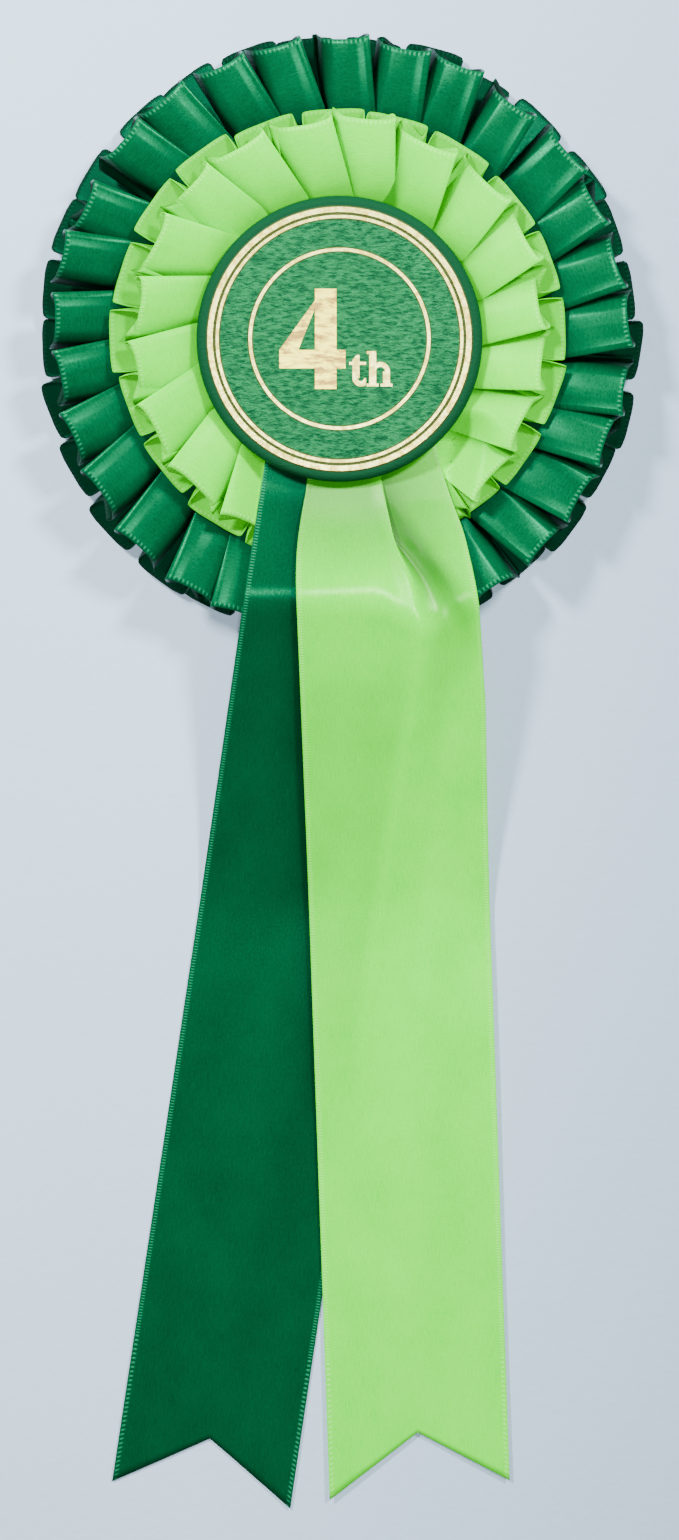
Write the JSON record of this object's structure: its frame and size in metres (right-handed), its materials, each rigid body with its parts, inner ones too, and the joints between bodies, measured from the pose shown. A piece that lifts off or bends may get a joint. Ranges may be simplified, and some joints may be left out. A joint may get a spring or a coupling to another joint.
{
  "type": "award ribbon",
  "caption": "Rosette award ribbon: box-pleated satin frills round a foil-stamped button, satin tails with V-cut ends, and a locking bar pin behind.",
  "frame": {"origin": "on the rosette's axis, in the plane that it rests on when it lies on its back", "axes": "+Z out of the rosette's face; +Y towards its top, with the tails towards -Y; +X to the right seen from the front"},
  "size_m": [0.126, 0.3096, 0.019],
  "materials": {
    "facing": "satin",
    "foil": "gloss",
    "satin_light": "satin",
    "satin_dark": "satin",
    "thread": "matte",
    "card": "matte",
    "cover": "matte",
    "foam": "matte",
    "wire": "satin",
    "plate": "satin",
    "needle": "polished"
  },
  "bodies": {
    "root": {"centre_face": "facing", "centre_board": "card", "foil_rings": "foil", "foil_numeral": "foil", "foil_suffix": "foil", "centre_pad": "foam", "inner_frill": "satin_light", "inner_frill_thread": "thread", "inner_frill_staples": "wire", "outer_frill": "satin_dark", "outer_frill_thread": "thread", "outer_frill_staples": "wire", "backing_board": "card", "tail_light_head": "satin_light", "tail_dark_head": "satin_dark", "tail_staples": "wire", "back_cover": "cover", "pin_bar": "plate", "pin_rivets": "plate", "pin_hinge_rivet": "plate"},
    "tail_light": {"tail_light": "satin_light"},
    "tail_dark": {"tail_dark": "satin_dark"},
    "needle": {"pin_needle": "needle"},
    "catch": {"pin_catch": "plate"}
  },
  "joints": [
    {"name": "tails_lift", "type": "hinge", "parent": "root", "child": "tail_light", "pos_m": [0, -0.031, 0.01455], "axis": [-1, 0, 0], "range_deg": [0, 70]},
    {"name": "dark_tail_lift", "type": "hinge", "parent": "root", "child": "tail_dark", "pos_m": [0, -0.031, 0.01455], "axis": [-1, 0, 0], "range_deg": [0, 70]},
    {"name": "needle_swing", "type": "hinge", "parent": "root", "child": "needle", "pos_m": [0.013, 0.012, 0.0026], "axis": [0, -1, 0], "range_deg": [0, 75]},
    {"name": "catch_turn", "type": "hinge", "parent": "root", "child": "catch", "pos_m": [-0.013, 0.012, 0.0026], "axis": [-1, 0, 0], "range_deg": [0, 90]}
  ],
  "couplings": [
    {"joint": "dark_tail_lift", "follows": "tails_lift", "ratio": 1}
  ]
}
